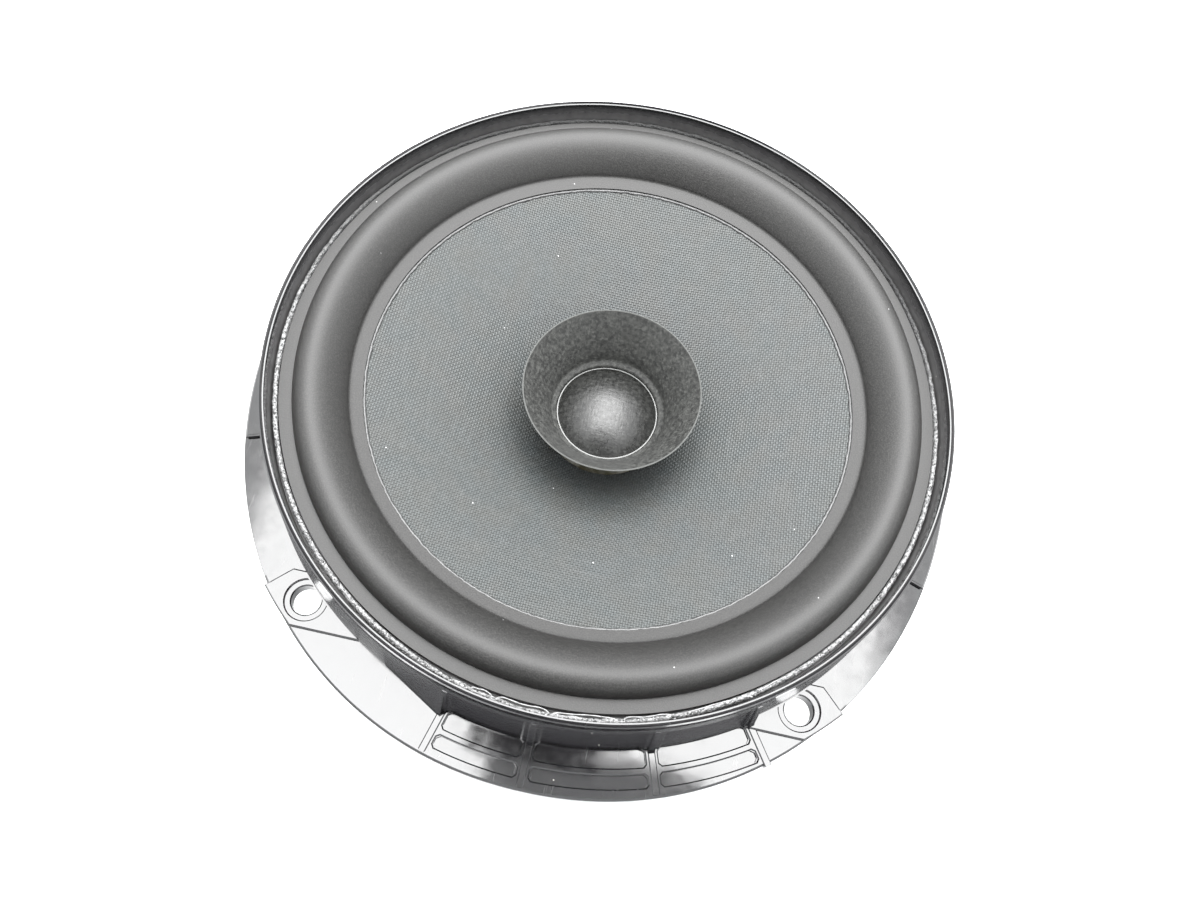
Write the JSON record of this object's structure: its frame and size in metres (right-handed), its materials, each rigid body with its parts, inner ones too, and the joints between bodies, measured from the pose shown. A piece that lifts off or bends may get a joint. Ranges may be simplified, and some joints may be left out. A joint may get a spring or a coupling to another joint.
{
  "type": "car door speaker",
  "caption": "Dual-cone car door speaker: moulded basket with a screw flange, rubber surround, woven cone, whizzer cone and dust cap, driven by a ring magnet motor.",
  "frame": {"origin": "centre of the yoke's back face", "axes": "+Z along the cone's axis and out of the front, +Y towards the connector side, +X to the right seen from the front"},
  "size_m": [0.1776, 0.192, 0.066],
  "materials": {
    "basket_plastic": "glossy black injection moulding with fine scuffs and dust",
    "gasket_foam": "closed-cell foam, matt black",
    "plated_steel": "zinc-plated steel, fine turning marks",
    "rivet_steel": "plated steel rivet",
    "ferrite": "ground dark grey ferrite",
    "surround_rubber": "satin rubber, dark warm grey",
    "rim_adhesive": "granular silver-grey sealing bead",
    "spider_cloth": "resin-stiffened woven cloth",
    "cone_weave": "fine plain weave, coated, grey-green",
    "whizzer_paper": "mottled dark fibre paper with a pale cut edge",
    "cap_paper": "dark fibre paper, satin dome",
    "neck_adhesive": "translucent yellow-brown glue",
    "former_film": "amber film",
    "coil_copper": "enamelled copper wire",
    "connector_plastic": "matt black moulding",
    "blade_brass": "tinned brass",
    "lead_braid": "braided tinsel wire"
  },
  "bodies": {
    "frame": {"basket": "basket_plastic", "mounting_gasket": "gasket_foam", "t_yoke": "plated_steel", "ferrite_magnet": "ferrite", "top_plate": "plated_steel", "frame_rivet_1": "rivet_steel", "frame_rivet_2": "rivet_steel", "frame_rivet_3": "rivet_steel", "frame_rivet_4": "rivet_steel", "surround": "surround_rubber", "surround_adhesive": "rim_adhesive", "spider": "spider_cloth", "connector_housing": "connector_plastic", "terminal_blade_plus": "blade_brass", "terminal_blade_minus": "blade_brass", "tinsel_lead_plus": "lead_braid", "tinsel_lead_minus": "lead_braid"},
    "moving_assembly": {"cone": "cone_weave", "whizzer_cone": "whizzer_paper", "dust_cap": "cap_paper", "neck_adhesive": "neck_adhesive", "voice_coil_former": "former_film", "voice_coil_winding": "coil_copper", "lead_joint_plus": "neck_adhesive", "lead_joint_minus": "neck_adhesive"}
  },
  "joints": [
    {"name": "cone_travel", "type": "slide", "parent": "frame", "child": "moving_assembly", "axis": [0, 0, 1], "range_m": [-0.004, 0.004], "stiffness_N_per_m": 2500, "deforming": ["surround", "spider", "tinsel_lead_plus", "tinsel_lead_minus"]}
  ]
}
